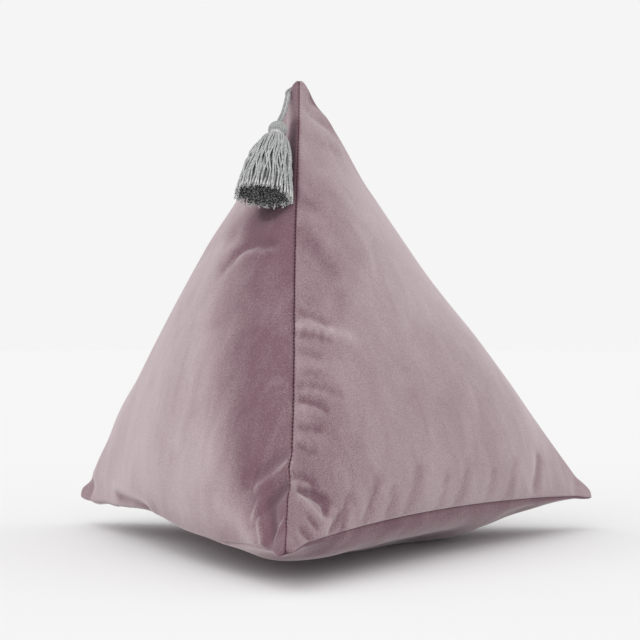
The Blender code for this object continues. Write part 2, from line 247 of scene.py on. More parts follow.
# The same columns: folds and puckers, pressed in after the panels are filled
folds = {
    "base": [
        # along the seam to the left
        (0.110, 0.004, 0.120, 0.032, 0.009, -0.0030),
        (0.176, 0.004, 0.184, 0.026, 0.008, -0.0022),
        (0.252, 0.004, 0.248, 0.036, 0.010, -0.0032),
    ],
    "rightFace": [
        # under the top corner
        (0.224, 0.357, 0.240, 0.348, 0.008, -0.0020),
        (0.221, 0.347, 0.240, 0.337, 0.006, 0.0014),
        # gathered at the front corner
        (0.036, 0.052, 0.044, 0.048, 0.006, -0.0018),
        (0.044, 0.048, 0.051, 0.042, 0.006, -0.0022),
        (0.030, 0.045, 0.046, 0.041, 0.004, 0.0018),
        (0.036, 0.041, 0.049, 0.033, 0.006, -0.0034),
        (0.049, 0.033, 0.058, 0.026, 0.007, -0.0044),
        (0.058, 0.026, 0.057, 0.018, 0.007, -0.0036),
        (0.033, 0.035, 0.039, 0.026, 0.006, 0.0020),
        (0.039, 0.026, 0.046, 0.015, 0.006, 0.0022),
        (0.064, 0.018, 0.053, 0.010, 0.005, 0.0022),
        (0.053, 0.010, 0.045, 0.005, 0.005, 0.0018),
        (0.069, 0.014, 0.057, 0.004, 0.005, -0.0022),
        (0.038, 0.018, 0.043, 0.010, 0.005, -0.0018),
        (0.026, 0.011, 0.032, 0.003, 0.006, -0.0018),
        # along the lower seam
        (0.071, 0.003, 0.082, 0.024, 0.006, -0.0024),
        (0.098, 0.004, 0.116, 0.032, 0.007, -0.0022),
        (0.124, 0.003, 0.133, 0.022, 0.006, -0.0014),
        (0.150, 0.004, 0.168, 0.032, 0.009, -0.0016),
        (0.196, 0.004, 0.206, 0.026, 0.006, -0.0014),
        (0.222, 0.004, 0.238, 0.030, 0.009, -0.0014),
        (0.268, 0.004, 0.276, 0.024, 0.006, -0.0012),
        (0.300, 0.004, 0.314, 0.030, 0.008, -0.0013),
        (0.348, 0.010, 0.366, 0.034, 0.010, -0.0022),
        # puckers beside the front seam
        (0.104, 0.174, 0.118, 0.160, 0.006, -0.0020),
        (0.097, 0.163, 0.117, 0.152, 0.005, 0.0022),
        (0.117, 0.152, 0.138, 0.144, 0.008, 0.0016),
        (0.093, 0.157, 0.112, 0.147, 0.004, -0.0022),
        (0.088, 0.143, 0.097, 0.135, 0.005, -0.0016),
        (0.080, 0.133, 0.096, 0.126, 0.004, 0.0014),
        (0.080, 0.125, 0.093, 0.120, 0.004, -0.0014),
        (0.071, 0.117, 0.082, 0.113, 0.004, -0.0019),
        (0.082, 0.113, 0.101, 0.103, 0.005, -0.0016),
        (0.073, 0.111, 0.085, 0.105, 0.004, 0.0013),
        (0.065, 0.107, 0.082, 0.094, 0.005, -0.0026),
        (0.063, 0.100, 0.073, 0.093, 0.004, 0.0017),
        (0.056, 0.086, 0.070, 0.079, 0.005, -0.0022),
        (0.050, 0.079, 0.057, 0.070, 0.004, 0.0014),
        (0.050, 0.071, 0.059, 0.064, 0.005, -0.0014),
    ],
    "leftFace": [
        # gathered at the front corner
        (0.402, 0.067, 0.376, 0.043, 0.010, -0.0024),
        (0.413, 0.059, 0.403, 0.048, 0.006, 0.0024),
        (0.403, 0.048, 0.389, 0.039, 0.006, 0.0022),
        (0.416, 0.046, 0.404, 0.030, 0.014, -0.0030),
        (0.396, 0.034, 0.391, 0.018, 0.006, 0.0020),
        (0.399, 0.018, 0.412, 0.003, 0.006, 0.0024),
        (0.410, 0.026, 0.421, 0.012, 0.011, -0.0024),
        (0.435, 0.021, 0.427, 0.011, 0.005, 0.0016),
        # along the lower seam
        (0.341, 0.026, 0.397, 0.004, 0.009, 0.0010),
        (0.112, 0.014, 0.205, 0.005, 0.006, 0.0015),
        (0.114, 0.007, 0.188, 0.001, 0.007, -0.0034),
        # the arc under the tassel
        (0.304, 0.222, 0.287, 0.222, 0.006, -0.0018),
        (0.287, 0.222, 0.270, 0.221, 0.007, -0.0026),
        (0.270, 0.221, 0.258, 0.217, 0.007, -0.0030),
        (0.258, 0.217, 0.250, 0.210, 0.008, -0.0028),
        (0.250, 0.210, 0.240, 0.198, 0.010, -0.0022),
        (0.301, 0.214, 0.276, 0.213, 0.006, 0.0012),
        (0.276, 0.213, 0.263, 0.206, 0.007, 0.0012),
        (0.311, 0.209, 0.291, 0.205, 0.006, -0.0011),
        # puckers beside the front seam
        (0.330, 0.179, 0.314, 0.172, 0.007, -0.0008),
        (0.348, 0.153, 0.338, 0.147, 0.006, 0.0007),
        (0.358, 0.139, 0.339, 0.132, 0.006, -0.0013),
        (0.362, 0.131, 0.344, 0.124, 0.006, 0.0008),
        (0.379, 0.108, 0.369, 0.101, 0.005, -0.0010),
        (0.381, 0.102, 0.366, 0.089, 0.006, 0.0009),
    ],
    "backFace": [
        # along the lower seam
        (0.106, 0.004, 0.118, 0.038, 0.010, -0.0030),
        (0.152, 0.004, 0.158, 0.022, 0.008, -0.0018),
        (0.196, 0.004, 0.204, 0.036, 0.011, -0.0026),
        (0.262, 0.004, 0.256, 0.026, 0.009, -0.0020),
        (0.318, 0.004, 0.304, 0.040, 0.011, -0.0030),
        (0.354, 0.004, 0.348, 0.022, 0.008, -0.0018),
    ],
}

# The same columns: patches of painted shade (last column: how much), or of painted highlight where it
# is below 0, under the front corner and beside the front seam
shadePatches = {
    "base": [
        (0.446, 0.004, 0.418, 0.050, 0.020, 0.34),
        (0.444, 0.002, 0.405, 0.004, 0.014, 0.16),
    ],
    "rightFace": [
        (0.141, 0.240, 0.147, 0.203, 0.013, 0.20),
        (0.160, 0.270, 0.163, 0.262, 0.011, 0.22),
        (0.114, 0.192, 0.116, 0.181, 0.012, 0.14),
        (0.157, 0.246, 0.163, 0.228, 0.014, -0.10),
        (0.098, 0.163, 0.117, 0.152, 0.006, -0.14),
        (0.117, 0.152, 0.137, 0.144, 0.008, -0.12),
    ],
    "leftFace": [
        (0.218, 0.240, 0.286, 0.240, 0.026, 0.22),
        (0.309, 0.208, 0.331, 0.178, 0.010, 0.10),
    ],
    "backFace": [],
}

# Finer cells beside the front seam, where the thread gathers the cloth: shares of the seam, width
finerCells = {"rightFace": (0.02, 0.50, 0.045), "leftFace": (0.02, 0.64, 0.070)}

fromTop = Matrix([corners[name] - corners["top"] for name in ("front", "right", "left")])
toShares = fromTop.transposed().inverted()


# Shares of the four corners at a point of the flat net
def cornerShares(point):
    first = [min(max(share, 0.0), 1.0) for share in toShares @ (point - corners["top"])]
    return dict(zip(corners, (*first, max(1 - sum(first), 0.0))))


# Origin, along, across and outward of a panel in the flat net
def panelFrame(panel):
    first, second, third = (corners[name] for name in panels[panel][0])
    along = (second - first).normalized()
    outward = along.cross(third - first).normalized()
    if outward.dot(first - middle) < 0:
        outward.negate()
    across = (third - first) - (third - first).dot(along) * along
    return first, along, across.normalized(), outward


panelFrames = {panel: panelFrame(panel) for panel in panels}


# Height at a place on a panel of one row of the tables above
def foldHeight(x, y, startX, startY, endX, endY, halfWidth, height):
    runX, runY = endX - startX, endY - startY
    run = math.hypot(runX, runY)
    share = ((x - startX) * runX + (y - startY) * runY) / run**2
    beyond = max(0.0, abs(share - 0.5) - 0.5) * run
    aside = abs((x - startX) * runY - (y - startY) * runX) / run
    away = (aside**2 + beyond**2) / halfWidth**2
    return height * (1 - away) ** 2 if away < 1 else 0.0


# Rises smoothly from 0 at 0 to 1 at 1
def easeIn(way):
    way = min(max(way, 0.0), 1.0)
    return way * way * (3 - 2 * way)


# A point of the net is bowed with the seams, crowned with the panels, blunted at the tips, and
# shifted with the seams again
def bowSeams(point, shares):
    for first, second, deepest, *bow in seams:
        both = shares[first] + shares[second]
        if both > 0:
            eased = (shares[second] / both) ** (math.log(0.5) / math.log(deepest))
            point = point + Vector(bow) * 4 * eased * (1 - eased) * both**3
    return point


def crownPanels(point, flat, shares, tip):
    fullUpTo, emptyFrom = fillingEnds[tip]
    way = easeIn((shares[tip] - fullUpTo) / (emptyFrom - fullUpTo))
    for panel, (names, kept) in panels.items():
        product = 27 * math.prod(shares[name] for name in names)  # 1 at the panel's middle
        if product <= 0:
            continue
        first, along, across, outward = panelFrames[panel]
        rise = cushion["crown"][panel] * product ** cushion["rounding"] * (1 - (1 - kept) * way)
        x, y = (flat - first).dot(along), (flat - first).dot(across)
        for bulge in bulges[panel]:
            rise += foldHeight(x, y, *bulge) * min(1.0, product * 8)
        point = point + outward * rise
    return point


def turnOutTip(point, shares, tip):
    left = 1 - shares[tip]
    if 0 < left < cushion["bluntTip"]:
        spine = corners[tip].lerp(middle, left * 4 / 3)
        point = spine + (point - spine) * math.sqrt(cushion["bluntTip"] / left)
    return point


def shiftSeams(point, shares):
    for first, second, place, halfLength, *shift in seamShifts:
        both = shares[first] + shares[second]
        if both > 0:
            away = ((shares[second] / both - place) / halfLength) ** 2
            if away < 1:
                point = point + Vector(shift) * (1 - away) ** 2 * both**3
    return point


def shapedPoint(flat):
    shares = cornerShares(flat)
    tip = max(shares, key=shares.get)
    point = bowSeams(flat.copy(), shares)
    point = crownPanels(point, flat, shares, tip)
    point = turnOutTip(point, shares, tip)
    point = shiftSeams(point, shares)
    point.z = max(point.z, 0.0)
    return point


# The net: four panels on a fine grid, with its sewing marked before it is filled
def cutNet():
    bm = bmesh.new()
    tips = [bm.verts.new(place) for place in corners.values()]
    for skipped in range(len(tips)):
        bm.faces.new([tip for index, tip in enumerate(tips) if index != skipped])
    bmesh.ops.recalc_face_normals(bm, faces=bm.faces[:])
    bmesh.ops.subdivide_edges(bm, edges=bm.edges[:], cuts=cushion["cells"] - 1, use_grid_fill=True)
    panelNumber = bm.faces.layers.int.new("panelNumber")
    panelUv = bm.loops.layers.uv.new("panel")
    for vert in bm.verts:
        shares = cornerShares(vert.co)
        for name, share in shares.items():
            shares[name] = share - cushion["crowding"] * math.sin(2 * math.pi * share) / (2 * math.pi)
        total = sum(shares.values())
        vert.co = sum((corners[name] * share / total for name, share in shares.items()), Vector())
    missing = {name: number for number, panel in enumerate(panels)
               for name in corners if name not in panels[panel][0]}
    for face in bm.faces:
        shares = cornerShares(face.calc_center_median())
        number = missing[min(shares, key=shares.get)]
        face[panelNumber] = number
        first, along, across, _ = panelFrames[list(panels)[number]]
        for loop in face.loops:
            flat = loop.vert.co - first
            loop[panelUv].uv = (flat.dot(along), flat.dot(across))
    measureFromSeams(bm)
    for vert in bm.verts:
        vert.co = shapedPoint(vert.co)
    return bm


# Marks how far each point lies from the nearest seam, and how far along it
def measureFromSeams(bm):
    seamAway = bm.verts.layers.float.get("seamAway") or bm.verts.layers.float.new("seamAway")
    seamRun = bm.verts.layers.float.get("seamRun") or bm.verts.layers.float.new("seamRun")
    panelUv = bm.loops.layers.uv["panel"]
    for vert in bm.verts:
        x, y = vert.link_loops[0][panelUv].uv
        back = cushion["seam"] - x
        sides = [(y, x)]
        for run in (x, back):
            sides.append((halfRootThree * run - y / 2, run / 2 + halfRootThree * y))
        vert[seamAway], vert[seamRun] = min(sides)


def layRestingPlane():
    bm = bmesh.new()
    bmesh.ops.create_grid(bm, x_segments=4, y_segments=4, size=1)
    mesh = bpy.data.meshes.new("restingPlane")
    bm.to_mesh(mesh)
    bm.free()
    resting = bpy.data.objects.new("restingPlane", mesh)
    resting.location.z = -filling["floorDrop"]
    scene.collection.objects.link(resting)
    resting.modifiers.new("collision", "COLLISION")
    resting.collision.thickness_outer = filling["clearance"]
    resting.collision.cloth_friction = filling["floorGrip"]
    return resting


# Fills the net: a short cloth run under pressure, its seams held, standing on the floor
def fillNet(net):
    mesh = bpy.data.meshes.new("net")
    net.to_mesh(mesh)
    net.free()
    piece = bpy.data.objects.new("net", mesh)
    scene.collection.objects.link(piece)
    away = mesh.attributes["seamAway"].data
    sewn = piece.vertex_groups.new(name="sewn")
    held = piece.vertex_groups.new(name="held")
    for index in range(len(mesh.vertices)):
        near = 1 - away[index].value / filling["sewnStrip"]
        if near > 0:
            sewn.add([index], near, "REPLACE")
        if near > 0.99:
            held.add([index], 1.0, "REPLACE")

    resting = layRestingPlane()
    cloth = piece.modifiers.new("cloth", "CLOTH")
    settings = cloth.settings
    settings.quality = 8
    settings.mass = filling["clothMass"] / len(mesh.vertices)
    settings.tension_stiffness = settings.compression_stiffness = filling["stretch"]
    settings.shear_stiffness = filling["shear"]
    settings.bending_stiffness = filling["bending"]
    settings.tension_damping = settings.compression_damping = filling["damping"]
    settings.shear_damping = filling["damping"]
    settings.bending_damping = filling["bendingDamping"]
    settings.air_damping = filling["airDamping"]
    settings.use_pressure = True
    settings.uniform_pressure_force = filling["pressure"]
    settings.vertex_group_mass = "held"
    settings.vertex_group_shrink = "sewn"
    settings.shrink_min = -filling["spareCloth"]
    settings.shrink_max = 0.0
    cloth.collision_settings.distance_min = filling["clearance"]
    cloth.collision_settings.use_self_collision = False
    cloth.point_cache.frame_end = filling["frames"]
    for number in range(1, filling["frames"] + 1):
        scene.frame_set(number)
    evaluated = piece.evaluated_get(bpy.context.evaluated_depsgraph_get())
    filled = bpy.data.meshes.new_from_object(evaluated)
    scene.frame_set(1)
    for used in (piece, resting):
        bpy.data.objects.remove(used)
    bm = bmesh.new()
    bm.from_mesh(filled)
    bpy.data.meshes.remove(filled)
    return bm


# Share of the way up the front seam, and distance from it, at a place on one of its two panels
def besideFrontSeam(panel, x, y):
    if panel == "leftFace":
        x = cushion["seam"] - x
    return (x / 2 + y * halfRootThree) / cushion["seam"], x * halfRootThree - y / 2


# Cuts the cells beside the front seam into three along it
def cutFiner(bm):
    panelNumber = bm.faces.layers.int["panelNumber"]
    panelUv = bm.loops.layers.uv["panel"]
    cutAcross = set()
    for face in bm.faces:
        panel = list(panels)[face[panelNumber]]
        if panel not in finerCells:
            continue
        low, high, width = finerCells[panel]
        for loop in face.loops:
            share, away = besideFrontSeam(panel, *loop[panelUv].uv)
            nextShare, nextAway = besideFrontSeam(panel, *loop.link_loop_next[panelUv].uv)
            alongSeam = abs(nextAway - away) < 0.3 * abs(nextShare - share) * cushion["seam"]
            if alongSeam and low < share < high and away < width:
                cutAcross.add(loop.edge)
    bmesh.ops.subdivide_edges(bm, edges=list(cutAcross), cuts=2)


# Presses the folds and puckers into the filled panels
def pressFolds(bm):
    panelNumber = bm.faces.layers.int["panelNumber"]
    panelUv = bm.loops.layers.uv["panel"]
    seamAway = bm.verts.layers.float["seamAway"]
    creased = bm.verts.layers.float.new("creased")
    bm.normal_update()
    pressed = []
    for vert in bm.verts:
        if vert[seamAway] <= 0:
            continue
        loop = vert.link_loops[0]
        panel = list(panels)[loop.face[panelNumber]]
        x, y = loop[panelUv].uv
        heights = [0.0] + [foldHeight(x, y, *fold) for fold in folds[panel]]
        rise = min(heights) + max(heights)
        vert[creased] = rise
        if rise:
            fade = min(1.0, vert[seamAway] / cushion["foldFade"])
            pressed.append((vert, vert.co + vert.normal * rise * fade))
    for vert, place in pressed:
        vert.co = place
    return len(pressed)


# Falls smoothly from 1 at 0 to 0 at 1
def fadeOut(way):
    return easeIn(1 - way)


# Painted shade, stored in the paintedShade attribute: darker under the cushion, beside the front
# seam, low on the left face, along its outline and where it turns under, towards the bottom of the
# right and back faces, in creases and round the tassel; lighter on ridges, a painted highlight
paintedShadeTable = {
    "base": 0.65,
    "baseEdge": 0.01,  # the base darkens over this much from its left seam
    "left": 0.60,
    "leftLow": 0.16,
    "leftBand": (0.045, 0.050),  # its width at the ends of the front seam, and what it gains between
    "leftBandFrom": (0.02, 0.75),  # where the wider part starts and how far it goes, up the panel
    "leftEdge": 0.32,
    "leftEdgeWidth": 0.12,
    "under": 0.28,  # on the left face where it turns under
    "underHeight": 0.018,
    "underSpan": (0.28, 0.07),  # its middle and half its length along the lower seam
    "right": 0.23,
    "rightBand": 0.075,
    "fall": 0.24,  # from top to bottom of the right and back faces
    "evenAt": {"rightFace": 0.42, "backFace": 0.6},  # share of the height where that adds nothing
    "hollow": 0.40,
    "hollowDepth": 0.003,
    "ridge": -0.18,
    "ridgeHeight": 0.002,
    "tassel": 0.80,
}
# Painted shadow of the tassel on the velvet, along its length
tasselShadow = {
    "from": Vector((-0.0285, -0.0280, 0.3400)),
    "to": Vector((-0.0362, -0.0673, 0.2825)),
    "reach": (0.0105, 0.0205),  # of the velvet it darkens, at its top and bottom
    "fade": 0.008,
}


def shadeOnBase(x, y):
    return paintedShadeTable["base"] * min(1.0, y / paintedShadeTable["baseEdge"])


def shadeOnLeftFace(x, y):
    fromSeam = besideFrontSeam("leftFace", x, y)[1]
    wideFrom, wideRun = paintedShadeTable["leftBandFrom"]
    height = min(max((y / panelHeight - wideFrom) / wideRun, 0), 1)
    width, gain = paintedShadeTable["leftBand"]
    band = width + gain * math.sin(math.pi * height)
    low = paintedShadeTable["leftLow"] * fadeOut(height / 0.3)
    beside = (paintedShadeTable["left"] + low) * fadeOut(fromSeam / band - 0.35)
    fromOutline = (x * halfRootThree - y / 2) / paintedShadeTable["leftEdgeWidth"]
    edge = paintedShadeTable["leftEdge"] * fadeOut(fromOutline)
    spanMiddle, spanHalf = paintedShadeTable["underSpan"]
    fromSpan = abs(x - spanMiddle) / spanHalf - 1
    under = paintedShadeTable["under"] * fadeOut(y / paintedShadeTable["underHeight"]) * fadeOut(fromSpan)
    return max(beside, edge, under)


def shadeOnRightFace(x, y):
    fromSeam = besideFrontSeam("rightFace", x, y)[1]
    beside = paintedShadeTable["right"] * fadeOut(fromSeam / paintedShadeTable["rightBand"] - 0.2)
    return beside + paintedShadeTable["fall"] * (paintedShadeTable["evenAt"]["rightFace"] - y / panelHeight)


def shadeOnBackFace(x, y):
    return paintedShadeTable["fall"] * (paintedShadeTable["evenAt"]["backFace"] - y / panelHeight)


shadeOn = {
    "base": shadeOnBase,
    "rightFace": shadeOnRightFace,
    "leftFace": shadeOnLeftFace,
    "backFace": shadeOnBackFace,
}


def shadeInCrease(crease):
    if crease < 0:
        return paintedShadeTable["hollow"] * min(-crease / paintedShadeTable["hollowDepth"], 1.0)
    return paintedShadeTable["ridge"] * min(crease / paintedShadeTable["ridgeHeight"], 1.0)


def shadowOfTassel(place):
    fall = tasselShadow["to"] - tasselShadow["from"]
    down = min(max((place - tasselShadow["from"]).dot(fall) / fall.length_squared, 0.0), 1.0)
    nearTop, nearEnd = tasselShadow["reach"]
    away = (place - tasselShadow["from"] - fall * down).length
    beyond = away - nearTop - (nearEnd - nearTop) * down
    return paintedShadeTable["tassel"] * fadeOut(beyond / tasselShadow["fade"])


# Paints the shade, and the highlight on ridges, into each point's paintedShade attribute
def paintShade(bm):
    paintedShade = bm.verts.layers.float.new("paintedShade")
    creased = bm.verts.layers.float["creased"]
    panelNumber = bm.faces.layers.int["panelNumber"]
    panelUv = bm.loops.layers.uv["panel"]
    for vert in bm.verts:
        places = []
        for loop in vert.link_loops:
            places.append((list(panels)[loop.face[panelNumber]], *loop[panelUv].uv))
        shading = max(shadeOn[panel](x, y) for panel, x, y in places)
        panel, x, y = places[-1]
        shading += sum(foldHeight(x, y, *patch) for patch in shadePatches[panel])
        shading += shadeInCrease(vert[creased])
        shading += shadowOfTassel(vert.co)
        vert[paintedShade] = shading


# Adds two narrow strips along the edges of each panel, for the seam to sink in
def addSeamStrips(bm):
    panelNumber = bm.faces.layers.int["panelNumber"]
    for number in range(len(panels)):
        faces = [face for face in bm.faces if face[panelNumber] == number]
        for _ in range(2):
            bmesh.ops.inset_region(
                bm, faces=faces, thickness=cushion["seamStrip"],
                use_boundary=True, use_even_offset=True, use_interpolate=True,
            )
    measureFromSeams(bm)


# How far the thread is hidden where a face turns under, as shares of a seam strip
hiddenThread = {("base", "leftFace"): 0.5, ("base", "rightFace"): 0.25}


# Marks how far the cloth lies from the stitched line, out to the third strip
def markThread(bm, seamLine):
    fromThread = bm.verts.layers.float["fromThread"]
    marked = set()
    ring = set(seamLine)
    for number in range(3):
        for vert in ring:
            hidden = hiddenThread.get(seamLine.get(vert), 0.0)
            vert[fromThread] = (number + hidden) * cushion["seamStrip"]
        marked |= ring
        ring = {edge.other_vert(vert) for vert in ring for edge in vert.link_edges} - marked
    for vert in bm.verts:
        if vert not in marked:
            vert[fromThread] = 3 * cushion["seamStrip"]


# Draws the stitched line in between the panels
def sinkSeams(bm):
    addSeamStrips(bm)
    bm.verts.layers.float.new("fromThread")
    firm = bm.verts.layers.float.new("crease_vert")  # keeps the four tips from being smoothed away
    seamRun = bm.verts.layers.float["seamRun"]
    panelNumber = bm.faces.layers.int["panelNumber"]
    seamLine = {}  # each point of it, with the panels that it joins
    for vert in bm.verts:
        numbers = sorted({face[panelNumber] for face in vert.link_faces})
        if len(numbers) > 1:
            seamLine[vert] = tuple(list(panels)[number] for number in numbers)
    markThread(bm, seamLine)
    bm.normal_update()
    sunk = []
    for vert in seamLine:
        run = min(vert[seamRun], cushion["seam"] - vert[seamRun])
        if run < 0.0005:
            vert[firm] = cushion["tipFirmness"]
        depth = cushion["seamSink"] * min(1.0, run / cushion["sinkRun"])
        sunk.append((vert, vert.co - vert.normal * depth))
    for vert, place in sunk:
        vert.co = place
    for vert in bm.verts:
        vert.co.z = max(vert.co.z, 0.0)
    return len(seamLine)


# Velvet colours: deep is mixed towards paleSheen by painted sheen and back by painted shade
velvet = {
    "deep": (0.175, 0.095, 0.119),  # the velvet's own colour, seen head-on without painted sheen
    "paleSheen": (0.505, 0.412, 0.430),  # the velvet under full painted sheen, as seen edge-on
    "shade": (0.050, 0.024, 0.035),  # painted shadow, mixed in where the painted shade is deepest, as round the tassel
    "thread": (0.060, 0.022, 0.034),
    "stitch": 0.0034,
    "facingSheen": 0.56,  # share of painted sheen where the pile is seen from straight above
    "rimSheen": 0.74,  # painted sheen that it gains where it is seen from the side
    "rimPower": 2.6,
    "least": 0.04,  # share of painted sheen that the pile keeps under the deepest painted shade
    "blotches": (11, 0.44),  # scale, strength
    "strokes": (50, 0.44),
    "grain": (1100, 1.0),
}


def velvetMaterial():
    material, shader = startMaterial("velvet")
    place = addNode(shader, "TexCoord").outputs["Object"]
    stretched = addNode(shader, "Mapping", {"Vector": place, "Scale": (1, 1, 0.35)}).outputs[0]
    patterns = {
        "blotches": {"Vector": place, "Detail": 2},
        "strokes": {"Vector": stretched, "Detail": 3, "Distortion": 0.8},
        "grain": {"Vector": place, "Detail": 2},
    }
    noises = {}
    for name, values in patterns.items():
        values["Scale"] = velvet[name][0]
        noises[name] = addNode(shader, "TexNoise", values).outputs["Fac"]
    # Painted sheen: the colour turns paler where the surface is seen edge-on and darker where it faces
    # the view; the paintedShade attribute takes it back down
    facing = addNode(shader, "LayerWeight", {"Blend": 0.5}).outputs["Facing"]
    shading = addNode(shader, "Attribute", attribute_name="paintedShade").outputs["Fac"]
    rim = maths(shader, "POWER", facing, velvet["rimPower"])
    paleSheen = maths(shader, "MULTIPLY_ADD", rim, velvet["rimSheen"], velvet["facingSheen"])
    paleSheen = maths(shader, "MAXIMUM", maths(shader, "SUBTRACT", paleSheen, shading), velvet["least"])
    for name, noise in noises.items():
        strength = velvet[name][1]
        lowered = maths(shader, "ADD", paleSheen, -strength / 2)
        paleSheen = maths(shader, "MULTIPLY_ADD", noise, strength, lowered)
    share = addNode(shader, "Clamp", {"Value": paleSheen}).outputs[0]
    colour = blendColours(shader, share, velvet["deep"], velvet["paleSheen"])
    # Painted shadow: where the painted shade passes 0.75 the colour turns towards the shadow colour
    shadowShare = smoothStep(shader, shading, 0.75, 1.35, 0.0, 0.7)
    colour = blendColours(shader, shadowShare, colour, velvet["shade"])
    away = addNode(shader, "Attribute", attribute_name="fromThread").outputs["Fac"]
    run = addNode(shader, "Attribute", attribute_name="seamRun").outputs["Fac"]
    stitch = maths(shader, "SINE", maths(shader, "MULTIPLY", run, 2 * math.pi / velvet["stitch"]))
    reachOut = maths(shader, "MULTIPLY_ADD", stitch, -0.0002, away)
    inSeam = smoothStep(shader, reachOut, 0.0001, 0.0009, 1.0, 0.0)
    colour = blendColours(shader, inSeam, colour, velvet["thread"])
    plug(shader, "Base Color", colour)
    shader.inputs["Roughness"].default_value = 0.9
    shader.inputs["Specular IOR Level"].default_value = 0.1
    shader.inputs["Sheen Weight"].default_value = 0.4
    shader.inputs["Sheen Roughness"].default_value = 0.35
    shader.inputs["Sheen Tint"].default_value = (1.0, 0.93, 0.96, 1)
    strokeHeight = maths(shader, "MULTIPLY", noises["strokes"], 0.8)
    height = maths(shader, "MULTIPLY_ADD", noises["grain"], 0.35, strokeHeight)
    bump = addNode(shader, "Bump", {"Strength": 0.35, "Distance": 0.0012, "Height": height})
    plug(shader, "Normal", bump.outputs[0])
    return material


bm = cutNet()
print("net cut:", len(bm.faces), "faces")
bm = fillNet(bm)
print("net filled")
cutFiner(bm)
print("folds pressed at", pressFolds(bm), "places")
print("seam line sunk at", sinkSeams(bm), "places")
paintShade(bm)
for face in bm.faces:
    face.smooth = True
velvetCushion = makePiece("velvet_cushion", bm, velvetMaterial())
subdivision = velvetCushion.modifiers.new("subdivision", "SUBSURF")
subdivision.levels = subdivision.render_levels = 1
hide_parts("cushion")
print("cushion made")


# Yarn and cord: a ring of points is drawn along a path. The "ply" layer keeps each point's
# place on the ring and how far along the yarn it lies
def startYarn():
    bm = bmesh.new()
    bm.verts.layers.float_vector.new("ply")
    return bm


def drawYarn(strands, path, radii, sides, lobe=0.0, lobePitch=0.005, phase=0.0, run=0.0, litOrShaded=0):
    bm = startYarn()
    ply = bm.verts.layers.float_vector["ply"]
    ring = bmesh.ops.create_circle(bm, segments=sides, radius=1)["verts"]
    for vert in ring:
        angle = math.atan2(vert.co.y, vert.co.x) + phase
        vert[ply] = (math.cos(angle), math.sin(angle), 0)
    rim = list({edge for vert in ring for edge in vert.link_edges})
    startRim = list(rim)
    side = Vector((1, 0, 0))
    if abs((path[1] - path[0]).normalized().x) > 0.8:
        side = Vector((0, 1, 0))
    for step, place in enumerate(path):
        onward = (path[min(step + 1, len(path) - 1)] - path[max(step - 1, 0)]).normalized()
        side = (side - side.dot(onward) * onward).normalized()
        across = onward.cross(side)
        if step:
            run += (place - path[step - 1]).length
            drawn = bmesh.ops.extrude_edge_only(bm, edges=rim)["geom"]
            ring = [item for item in drawn if isinstance(item, bmesh.types.BMVert)]
            fresh = set(ring)
            rim = [item for item in drawn if isinstance(item, bmesh.types.BMEdge)
                   and item.verts[0] in fresh and item.verts[1] in fresh]
        for vert in ring:
            aside, up = vert[ply].x, vert[ply].y
            angle = math.atan2(up, aside) + math.pi * 2 * run / lobePitch
            width = radii[step] * (1 - lobe * (1 - abs(math.cos(angle)) ** 0.7))
            vert.co = place + (side * aside + across * up) * width
            vert[ply] = (aside, up, run)
    for face in bm.faces:
        face.smooth = True
        face.material_index = litOrShaded
    bmesh.ops.holes_fill(bm, edges=startRim)
    # The end caps take slot 1, the painted shade of the cut ends
    for face in bmesh.ops.holes_fill(bm, edges=rim)["faces"]:
        face.material_index = 1
    bmesh.ops.recalc_face_normals(bm, faces=bm.faces[:])
    mesh = bpy.data.meshes.new("strand")
    bm.to_mesh(mesh)
    bm.free()
    strands.from_mesh(mesh)
    bpy.data.meshes.remove(mesh)


# Smooth curve through a few points
def smoothPath(points, steps):
    path = []
    padded = [points[0] * 2 - points[1], *points, points[-1] * 2 - points[-2]]
    for before, start, end, after in zip(padded, padded[1:], padded[2:], padded[3:]):
        for step in range(steps):
            way = step / steps
            path.append(0.5 * (2 * start + (end - before) * way
                               + (2 * before - 5 * start + 4 * end - after) * way**2
                               + (3 * start - before - 3 * end + after) * way**3))
    path.append(points[-1])
    return path


tassel = {
    "neck": Vector((-0.0308, -0.0399, 0.3240)),
    "fall": Vector((-0.0070, -0.0400, -0.0580)),  # the way the strands fall
    "length": 0.060,
    "strands": 290,
    "strandRadius": 0.00072,
    "strandTurn": 2.399963,  # the golden angle, which spreads the strands evenly
    "levels": (0, 0.03, 0.07, 0.15, 0.25, 0.36, 0.48, 0.60, 0.72, 0.84, 0.94, 1.0),
    "locks": 17,  # bunches that the strands gather in
    "gathering": 0.2,
    "uneven": 0.0016,  # of the cut
    "longerBehind": 0.0030,
    "longerRight": 0.0050,
    "tucked": 0.0008,  # the strands begin this far above the neck
    "bow": 0.0012,  # of the whole skirt, to the left
    "wave": 0.0016,
    "spread": 0.0003,
    "flattening": 0.5,  # where it rests on the cushion
    "outer": 0.86,  # share of the skirt's width past which a strand shows; strands inside it take the darker copy of the yarn, painted shade
    "plies": 4,
    "plyRadii": (0.00034, 0.00034, 0.00026),
    "fray": [(0.0003, -0.0016), (0.0005, 0.0), (0.0008, 0.0016)],  # outwards, onwards past the end
}

# Skirt below the neck: share of its length, half width, half depth
skirtProfile = [
    (0.00, 0.0052, 0.0052),
    (0.03, 0.0088, 0.0078),
    (0.08, 0.0112, 0.0092),
    (0.34, 0.0160, 0.0116),
    (0.68, 0.0202, 0.0142),
    (1.00, 0.0226, 0.0168),
]

# Head above the neck: height, radius of its outside
headProfile = [
    (0.0030, 0.0050),
    (0.0042, 0.0067),
    (0.0068, 0.0075),
    (0.0096, 0.0073),
    (0.0120, 0.0060),
    (0.0134, 0.0041),
    (0.0139, 0.0022),
]

down = tassel["fall"].normalized()
acrossTassel = (Vector((1, 0, 0)) - Vector((1, 0, 0)).dot(down) * down).normalized()
tasselTurn = Matrix((acrossTassel, (-down).cross(acrossTassel), -down)).transposed()


# A place that is given from the neck: across, towards the cushion, up against the fall
def inTassel(x, y, z):
    return tassel["neck"] + tasselTurn @ Vector((x, y, z))
